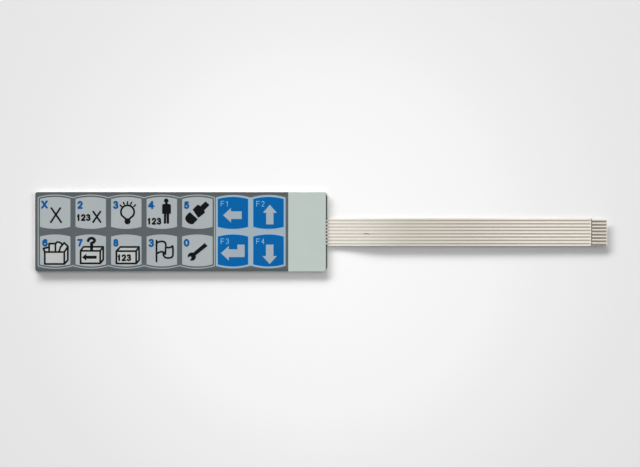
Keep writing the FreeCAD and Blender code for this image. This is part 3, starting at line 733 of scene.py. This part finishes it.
def new_geometry_tree(name, sizes):
    tree = bpy.data.node_groups.new(name, "GeometryNodeTree")
    kinds = {"Geometry": "Geometry", **dict.fromkeys(sizes, "Float"), "Material": "Material"}
    for socket, kind in kinds.items():
        tree.interface.new_socket(socket, in_out="INPUT", socket_type="NodeSocket" + kind)
    tree.interface.new_socket("Geometry", in_out="OUTPUT", socket_type="NodeSocketGeometry")
    bench = Bench(tree)
    entry = tree.nodes.new("NodeGroupInput")
    given = {socket.name: Wire(bench, socket) for socket in entry.outputs if socket.name}
    return bench, given


def close_geometry_tree(bench, geometry, material):
    whole = bench.add("GeometryNodeRealizeInstances", None, {"Geometry": geometry})
    inked = bench.add("GeometryNodeSetMaterial", None, {"Geometry": whole, "Material": material})
    bench.add("NodeGroupOutput", None, {"Geometry": inked})
    return bench.tree


def flat_bar(bench, reach, width):
    return bench.add("GeometryNodeMeshGrid", None,
                     {"Size X": reach, "Size Y": width, "Vertices X": 2, "Vertices Y": 2})


def stored_direction(bench, name):
    """A stored vector, and the rotation that turns the X axis along it."""
    vector = bench.add("GeometryNodeInputNamedAttribute", {"data_type": "FLOAT_VECTOR"},
                       {"Name": name})
    turn = bench.add("FunctionNodeAlignRotationToVector", {"axis": "X"}, {"Vector": vector})
    return vector, turn


def joined(bench, *parts):
    together = bench.add("GeometryNodeJoinGeometry")
    for wire in parts:
        bench.tree.links.new(wire.socket, together.socket.node.inputs[0])
    return together


def line_tree():
    """Lines along the edges of a path: a bar for each edge and a disc at each point."""
    bench, given = new_geometry_tree("Printed line", ["Line Width"])
    disc_sides = 12
    first = bench.add("GeometryNodeInputMeshEdgeVertices", output="Position 1")
    second = Wire(bench, first.socket.node.outputs["Position 2"])
    along = bench.add("ShaderNodeVectorMath", {"operation": "SUBTRACT"}, {0: second, 1: first})
    marked = bench.add("GeometryNodeStoreNamedAttribute",
                       {"data_type": "FLOAT_VECTOR", "domain": "EDGE"},
                       {"Geometry": given["Geometry"], "Name": "along", "Value": along})
    middles = bench.add("GeometryNodeMeshToPoints", {"mode": "EDGES"}, {"Mesh": marked})
    corners = bench.add("GeometryNodeMeshToPoints", {"mode": "VERTICES"}, {"Mesh": marked})
    heading, turn = stored_direction(bench, "along")
    reach = bench.add("ShaderNodeVectorMath", {"operation": "LENGTH"}, {0: heading}, "Value")
    bar = flat_bar(bench, 1.0, 1.0)
    size = bench.add("ShaderNodeCombineXYZ", None, {"X": reach, "Y": given["Line Width"], "Z": 1.0})
    bars = bench.add("GeometryNodeInstanceOnPoints", None,
                     {"Points": middles, "Instance": bar, "Rotation": turn, "Scale": size})
    dot = bench.add("GeometryNodeMeshCircle", {"fill_type": "NGON"},
                    {"Vertices": disc_sides, "Radius": given["Line Width"] * 0.5})
    dots = bench.add("GeometryNodeInstanceOnPoints", None, {"Points": corners, "Instance": dot})
    return close_geometry_tree(bench, joined(bench, bars, dots), given["Material"])


def arrow_tree():
    """A flat arrow at each point of the mesh, along the point's heading, its tip at the point."""
    bench, given = new_geometry_tree(
        "Printed arrow", ["Length", "Shaft Width", "Head Length", "Head Width"])
    shaft_length = given["Length"] - given["Head Length"]
    middle = (given["Length"] + given["Head Length"]) * -0.5
    shaft_place = bench.add("ShaderNodeCombineXYZ", None, {"X": middle})
    shaft = bench.add("GeometryNodeTransform", None,
                      {"Geometry": flat_bar(bench, shaft_length, given["Shaft Width"]),
                       "Translation": shaft_place})
    head = bench.add("GeometryNodeMeshCircle", {"fill_type": "NGON"},
                     {"Vertices": 3, "Radius": 1.0})
    triangle_reach, triangle_width = 1.5, math.sqrt(3)
    head_size = bench.add("ShaderNodeCombineXYZ", None, {
        "X": given["Head Length"] * (1 / triangle_reach),
        "Y": given["Head Width"] * (1 / triangle_width), "Z": 1.0})
    head_place = bench.add("ShaderNodeCombineXYZ", None,
                           {"X": given["Head Length"] * (-1 / triangle_reach)})
    head = bench.add("GeometryNodeTransform", None,
                     {"Geometry": head, "Translation": head_place, "Scale": head_size})
    points = bench.add("GeometryNodeMeshToPoints", {"mode": "VERTICES"},
                       {"Mesh": given["Geometry"]})
    turn = stored_direction(bench, "heading")[1]
    arrows = bench.add("GeometryNodeInstanceOnPoints", None,
                       {"Points": points, "Instance": joined(bench, shaft, head), "Rotation": turn})
    return close_geometry_tree(bench, arrows, given["Material"])


def grown(tree, mesh, sizes, material):
    """The flat outlines that a tree grows on a mesh, in millimetres."""
    holder = bpy.data.objects.new("draft", mesh)
    bpy.context.scene.collection.objects.link(holder)
    modifier = holder.modifiers.new("Print", "NODES")
    modifier.node_group = tree
    wanted = dict(sizes, Material=material)
    for item in tree.interface.items_tree:
        if item.in_out == "INPUT" and item.name in wanted:
            modifier[item.identifier] = wanted[item.name]
    evaluated = holder.evaluated_get(bpy.context.evaluated_depsgraph_get())
    plain = bpy.data.meshes.new_from_object(evaluated)
    outlines = [[(plain.vertices[i].co.x / MM, plain.vertices[i].co.y / MM) for i in face.vertices]
                for face in plain.polygons]
    bpy.data.objects.remove(holder)
    bpy.data.meshes.remove(plain)
    return outlines


def printed_lines(paths, width, material):
    """Outlines of lines along paths."""
    mesh = bpy.data.meshes.new("paths")
    points = []
    edges = []
    for path in paths:
        start = len(points)
        points += [(x * MM, y * MM, 0.0) for x, y in path]
        edges += [(start + i, start + i + 1) for i in range(len(path) - 1)]
    mesh.from_pydata(points, edges, [])
    return grown(bpy.data.node_groups["Printed line"], mesh, {"Line Width": width}, material)


def printed_arrow(x, y, heading, reach, shaft, head_reach, head_width, material):
    mesh = bpy.data.meshes.new("tip")
    mesh.from_pydata([(x * MM, y * MM, 0.0)], [], [])
    angle = math.radians(heading)
    mesh.attributes.new("heading", "FLOAT_VECTOR", "POINT").data[0].vector = (
        math.cos(angle), math.sin(angle), 0.0)
    sizes = {"Length": reach * MM, "Shaft Width": shaft * MM, "Head Length": head_reach * MM,
             "Head Width": head_width * MM}
    return grown(bpy.data.node_groups["Printed arrow"], mesh, sizes, material)


# From outlines to thin printed pieces

def encloses(shape, x, y):
    """Whether the outline goes round the point."""
    inside = False
    for (x1, y1), (x2, y2) in zip(shape, shape[1:] + shape[:1]):
        if (y1 > y) != (y2 > y) and x < x1 + (y - y1) * (x2 - x1) / (y2 - y1):
            inside = not inside
    return inside


def with_reach(shapes):
    """Each outline with the box that it fills."""
    boxed = []
    for shape in shapes:
        across = [x for x, y in shape]
        up = [y for x, y in shape]
        boxed.append((min(across), max(across), min(up), max(up), shape))
    return boxed


def covered(boxed, x, y):
    return any(left < x < right and low < y < high and encloses(shape, x, y)
               for left, right, low, high, shape in boxed)


def merged(outlines, bare=()):
    """What the outlines cover together, less the bare areas, as points and triangles."""
    points = []
    faces = []
    for shape in list(outlines) + list(bare):
        faces.append(list(range(len(points), len(points) + len(shape))))
        points += [Vector(point) for point in shape]
    inside_only, closeness = 1, 1e-4
    corners, _, triangles, _, _, _ = delaunay_2d_cdt(points, [], faces, inside_only, closeness)
    inked, empty = with_reach(outlines), with_reach(bare)
    kept = []
    for triangle in triangles:
        x, y = sum((corners[i] for i in triangle), Vector((0, 0))) / 3
        if covered(inked, x, y) and not covered(empty, x, y):
            kept.append(triangle)
    return corners, kept


def new_piece(name, area, low, thickness, material):
    """A thin closed plate in the shape of an area. low is its height, or a function of x and y."""
    corners, triangles = area
    shape = bmesh.new()
    verts = [shape.verts.new((corner.x * MM, corner.y * MM, 0.0)) for corner in corners]
    for triangle in triangles:
        shape.faces.new([verts[i] for i in triangle])
    bmesh.ops.delete(shape, geom=[v for v in shape.verts if not v.link_faces], context="VERTS")
    top = bmesh.ops.extrude_face_region(shape, geom=shape.faces[:])["geom"]
    raised_verts = {item for item in top if isinstance(item, bmesh.types.BMVert)}
    for vert in shape.verts:
        foot = low(vert.co.x, vert.co.y) if callable(low) else low
        vert.co.z = foot + (thickness if vert in raised_verts else 0.0)
    bmesh.ops.triangulate(shape, faces=shape.faces)
    bmesh.ops.recalc_face_normals(shape, faces=shape.faces)
    mesh = bpy.data.meshes.new(name)
    shape.to_mesh(mesh)
    shape.free()
    mesh.materials.append(material)
    piece = bpy.data.objects.new(name, mesh)
    bpy.context.scene.collection.objects.link(piece)
    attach(piece, "root")


def top_of(node):
    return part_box(node)[1].z


def printed_finish(name, tone):
    return satin_ink(name, tuple(tone), 0.04, 0.5)


# Operators: one for each group of pieces

class KEYPAD_OT_finishes(bpy.types.Operator):
    """Give each layer of the keypad its finish"""
    bl_idname = "keypad.finishes"
    bl_label = "Finish the layers"

    def execute(self, context):
        slots = {row["node"]: row["material_slot"] for row in frame["record"]["subparts"]}
        made = {name: build() for name, build in FINISHES.items()}
        for name, node in frame["nodes"].items():
            if not node.material_slots:
                node.data.materials.append(None)
            for place in node.material_slots:
                place.material = made[slots[name]]
        return {"FINISHED"}


class KEYPAD_OT_trees(bpy.types.Operator):
    """Make the node trees that draw printed lines and arrows"""
    bl_idname = "keypad.trees"
    bl_label = "Make the drawing trees"

    def execute(self, context):
        line_tree()
        arrow_tree()
        return {"FINISHED"}


class KEYPAD_OT_numbers(bpy.types.Operator):
    """Print the large blue number in the corner of each grey key"""
    bl_idname = "keypad.numbers"
    bl_label = "Print the numbers"

    def execute(self, context):
        sizes = context.scene.keypad_print
        finish = printed_finish("number_ink", sizes.blue)
        paths = []
        for key in GREY_KEYS:
            paths += on_key(key, written(*NUMBERS[key], sizes.number_line))
        area = merged(printed_lines(paths, sizes.number_line, finish))
        new_piece("key_numbers", area, top_of("print_grey_keys"), sizes.ink, finish)
        return {"FINISHED"}


class KEYPAD_OT_signs(bpy.types.Operator):
    """Print the black signs and their pale faces on the grey keys"""
    bl_idname = "keypad.signs"
    bl_label = "Print the signs"

    def execute(self, context):
        sizes = context.scene.keypad_print
        black = printed_finish("sign_ink", sizes.black)
        pale = printed_finish("face_ink", sizes.pale)
        work = {kind: [] for kind in ("lines", "fine", "hooks", "areas", "bare", "faces", "counts")}
        arrows = []
        for key in GREY_KEYS:
            sign = SIGNS[key]()
            counts = sign.pop("counts", [])
            x, y = key_middle(key)
            for arrow in sign.pop("arrows", []):
                arrows += printed_arrow(x + arrow[0], y + arrow[1], *arrow[2:], black)
            for kind, shapes in sign.items():
                work[kind] += on_key(key, shapes)
            for left, low in counts:
                work["counts"] += on_key(key, small_count(left, low, sizes.count_line))
        outlines = work["areas"] + arrows
        for kind, width in (("lines", sizes.sign_line), ("fine", sizes.fine_line),
                            ("hooks", sizes.hook_line), ("counts", sizes.count_line)):
            outlines += printed_lines(work[kind], width, black)
        ground = top_of("print_grey_keys")
        new_piece("key_signs", merged(outlines, work["bare"]), ground, sizes.ink, black)
        new_piece("sign_faces", merged(work["faces"], outlines), ground, sizes.face_ink, pale)
        return {"FINISHED"}


class KEYPAD_OT_arrows(bpy.types.Operator):
    """Print the large arrows on the blue keys"""
    bl_idname = "keypad.arrows"
    bl_label = "Print the arrows"

    def execute(self, context):
        sizes = context.scene.keypad_print
        finish = printed_finish("arrow_ink", sizes.grey)
        outlines = on_key("f3", [block(*ENTER_RISER)])
        for key, arrow in ARROWS.items():
            x, y = key_middle(key)
            outlines += printed_arrow(x + arrow[0], y + arrow[1], *arrow[2:], finish)
        new_piece("key_arrows", merged(outlines), top_of("print_blue_keys"), sizes.ink, finish)
        return {"FINISHED"}


class KEYPAD_OT_labels(bpy.types.Operator):
    """Print the small labels of the four function keys"""
    bl_idname = "keypad.labels"
    bl_label = "Print the labels"

    def execute(self, context):
        sizes = context.scene.keypad_print
        finish = printed_finish("label_ink", sizes.light_blue)
        line = sizes.label_line
        paths = []
        for number, key in enumerate(BLUE_KEYS, 1):
            label = written("F", *LABEL_LETTER, line) + written(str(number), *LABEL_NUMBER, line)
            paths += on_key(key, label)
        area = merged(printed_lines(paths, line, finish))
        new_piece("function_labels", area, top_of("print_blue_keys"), sizes.ink, finish)
        return {"FINISHED"}


def top_outlines(node):
    """The outlines of the upper faces of a CAD node's solids, as closed paths in millimetres."""
    shape = bmesh.new()
    shape.from_mesh(frame["nodes"][node].data)
    closeness, upward = 0.001 * MM, 0.9
    bmesh.ops.remove_doubles(shape, verts=shape.verts, dist=closeness)
    rims = {}
    for edge in shape.edges:
        tops = [face for face in edge.link_faces if face.normal.z > upward]
        if len(tops) == 1:
            for vert, other in (edge.verts, reversed(edge.verts)):
                rims.setdefault(vert, []).append(other)
    paths = []
    while rims:
        vert = next(iter(rims))
        path = []
        while vert in rims:
            path.append((vert.co.x / MM, vert.co.y / MM))
            following = [other for other in rims.pop(vert) if other in rims]
            if following:
                vert = following[0]
        paths.append(loop(path))
    shape.free()
    return paths


class KEYPAD_OT_rims(bpy.types.Operator):
    """Print the thin light line round each blue key"""
    bl_idname = "keypad.rims"
    bl_label = "Print the rims"

    def execute(self, context):
        sizes = context.scene.keypad_print
        finish = printed_finish("rim_ink", sizes.light_blue)
        paths = top_outlines("print_blue_keys")
        keys = [path[:-1] for path in paths]
        area = merged(printed_lines(paths, sizes.rim_line, finish), keys)
        new_piece("blue_key_rims", area, top_of("print_blue_surround"), sizes.ink, finish)
        return {"FINISHED"}


class KEYPAD_OT_mark(bpy.types.Operator):
    """Print the small mark on the tail's cover film"""
    bl_idname = "keypad.mark"
    bl_label = "Print the tail mark"

    def execute(self, context):
        sizes = context.scene.keypad_print
        finish = printed_finish("mark_ink", sizes.mark)
        cover = frame["nodes"]["tail_cover_film"].data
        surface = BVHTree.FromPolygons([vert.co for vert in cover.vertices],
                                       [list(face.vertices) for face in cover.polygons])
        above = top_of("tail_cover_film") + 1 * MM

        def ground(x, y):
            """The height of the film, which rises and falls along the tail."""
            return surface.ray_cast(Vector((x, y, above)), Vector((0, 0, -1)))[0].z

        area = merged(printed_lines([MARK_PATH], MARK_LINE, finish))
        new_piece("tail_mark", area, ground, sizes.ink, finish)
        return {"FINISHED"}


# The middle of the view, and the windows of light: name, turn from the +Y axis, lower and
# upper edge in degrees, and setting
VIEW_MIDDLE = Vector((107.15, -1.4, 0.0)) * MM
# The middle of the pool of light painted on the floor
LIGHT_POOL_MIDDLE = Vector((107.15, -13.4, 0.0)) * MM
WINDOWS = (
    ("low window", 25, 8.0, 15.2, "low_power"),
    ("high window", 25, 15.2, 29.0, "high_power"),
    ("side window", -80, 18.0, 42.0, "side_power"),
)
WINDOW_DISTANCE = 14.0
WINDOW_SPREAD = math.radians(32)


def floor_finish():
    """Pale studio floor with a painted pool of light: lightest under the object and a little greyer
    outwards.
    """
    finish = Finish("floor")
    from_light_pool = finish.add("ShaderNodeVectorMath", {"operation": "DISTANCE"},
                      {0: finish.place, 1: LIGHT_POOL_MIDDLE}, "Value")
    edge = 0.30
    # Painted pool of light: the floor's colour falls off with distance from its middle
    light_pool_tones = ((0.0, 0.915), (0.22, 0.887), (0.43, 0.858), (0.56, 0.814), (0.78, 0.762), (1.0, 0.738))
    tone = finish.add("ShaderNodeValToRGB", {"stops": light_pool_tones}, {"Fac": from_light_pool / edge})
    return finish.shade(Base_Color=tone, Roughness=0.9, Specular_IOR_Level=0.0)


def studio_world(sky, backdrop):
    """Even light. The world that is seen or mirrored is pale at eye level, darker overhead."""
    world = bpy.data.worlds.new("studio")
    world.use_nodes = True
    bench = Bench(world.node_tree)
    bench.tree.nodes.clear()
    ray = bench.add("ShaderNodeLightPath", output="Is Camera Ray")
    others = (Wire(bench, ray.socket.node.outputs[name])
              for name in ("Is Glossy Ray", "Is Transmission Ray"))
    seen = sum(others, ray)
    direction = bench.add("ShaderNodeTexCoord", output="Generated")
    height = bench.add("ShaderNodeSeparateXYZ", None, {"Vector": direction}, "Z")
    overhead = 0.12 * backdrop
    grey = bench.between(height, 0.3, 0.8, backdrop, overhead, smooth=True)
    white = (1.0, 1.0, 1.0, 1.0)
    light = bench.add("ShaderNodeBackground", None, {"Color": white, "Strength": sky})
    view = bench.add("ShaderNodeBackground", None, {"Color": white, "Strength": grey})
    mixed = bench.add("ShaderNodeMixShader", None,
                      {0: bench.between(seen, 0.0, 1.0), 1: light, 2: view})
    bench.add("ShaderNodeOutputWorld", None, {"Surface": mixed})
    return world


def aim(thing, target):
    thing.rotation_euler = (target - thing.location).to_track_quat("-Z", "Y").to_euler()


class KEYPAD_OT_stage(bpy.types.Operator):
    """Set up the floor, the soft light and the camera above the keypad"""
    bl_idname = "keypad.stage"
    bl_label = "Set the stage"

    def execute(self, context):
        setting = context.scene.keypad_setting
        scene = context.scene
        reach, below = setting.floor_reach, -0.02 * MM
        mesh = bpy.data.meshes.new("floor")
        corners = ((-reach, -reach), (reach, -reach), (reach, reach), (-reach, reach))
        mesh.from_pydata([(x, y, below) for x, y in corners], [], [(0, 1, 2, 3)])
        mesh.materials.append(floor_finish())
        floor = bpy.data.objects.new("floor", mesh)
        scene.collection.objects.link(floor)
        scene.world = studio_world(setting.sky, setting.backdrop)
        for name, turn, low, high, power in WINDOWS:
            self.add_window(scene, name, *map(math.radians, (turn, low, high)),
                            getattr(setting, power))
        self.add_camera(scene, setting.camera_height)
        scene.view_settings.view_transform = "Standard"
        return {"FINISHED"}

    def add_window(self, scene, name, turn, low, high, power):
        elevation = (low + high) / 2
        lamp = bpy.data.lights.new(name, "AREA")
        lamp.shape = "RECTANGLE"
        lamp.size = 2 * WINDOW_DISTANCE * math.tan(WINDOW_SPREAD)
        lamp.size_y = 2 * WINDOW_DISTANCE * math.tan((high - low) / 2)
        lamp.energy = power
        light = bpy.data.objects.new(name, lamp)
        light.location = VIEW_MIDDLE + WINDOW_DISTANCE * Vector((
            -math.cos(elevation) * math.sin(turn), math.cos(elevation) * math.cos(turn),
            math.sin(elevation)))
        aim(light, VIEW_MIDDLE)
        light.visible_camera = False
        light.visible_glossy = False
        scene.collection.objects.link(light)

    def add_camera(self, scene, height):
        """Straight above, through a long lens."""
        view_width = 492.8 * MM
        data = bpy.data.cameras.new("camera")
        data.sensor_width = 36.0
        data.lens = data.sensor_width * height / view_width
        data.clip_start, data.clip_end = 0.1, 100.0
        camera = bpy.data.objects.new("camera", data)
        camera.location = (VIEW_MIDDLE.x, VIEW_MIDDLE.y, height)
        scene.collection.objects.link(camera)
        scene.camera = camera


class KEYPAD_PT_sidebar(bpy.types.Panel):
    """The steps that dress the keypad"""
    bl_idname = "KEYPAD_PT_sidebar"
    bl_label = "Membrane keypad"
    bl_space_type = "VIEW_3D"
    bl_region_type = "UI"
    bl_category = "Keypad"

    def draw(self, context):
        for group in (context.scene.keypad_print, context.scene.keypad_setting):
            for name in group.bl_rna.properties.keys():
                if name not in ("rna_type", "name"):
                    self.layout.prop(group, name)
        for step in STEPS:
            self.layout.operator(step.bl_idname)


STEPS = (KEYPAD_OT_finishes, KEYPAD_OT_trees, KEYPAD_OT_numbers, KEYPAD_OT_signs, KEYPAD_OT_arrows,
         KEYPAD_OT_labels, KEYPAD_OT_rims, KEYPAD_OT_mark, KEYPAD_OT_stage)
CLASSES = (KeypadPrint, KeypadSetting, *STEPS, KEYPAD_PT_sidebar)


def register():
    for item in CLASSES:
        bpy.utils.register_class(item)
    bpy.types.Scene.keypad_print = PointerProperty(type=KeypadPrint)
    bpy.types.Scene.keypad_setting = PointerProperty(type=KeypadSetting)


def unregister():
    del bpy.types.Scene.keypad_setting
    del bpy.types.Scene.keypad_print
    for item in reversed(CLASSES):
        bpy.utils.unregister_class(item)


def main():
    register()
    for step in STEPS:
        group, name = step.bl_idname.split(".")
        getattr(getattr(bpy.ops, group), name)()


if __name__ == "__main__":
    main()
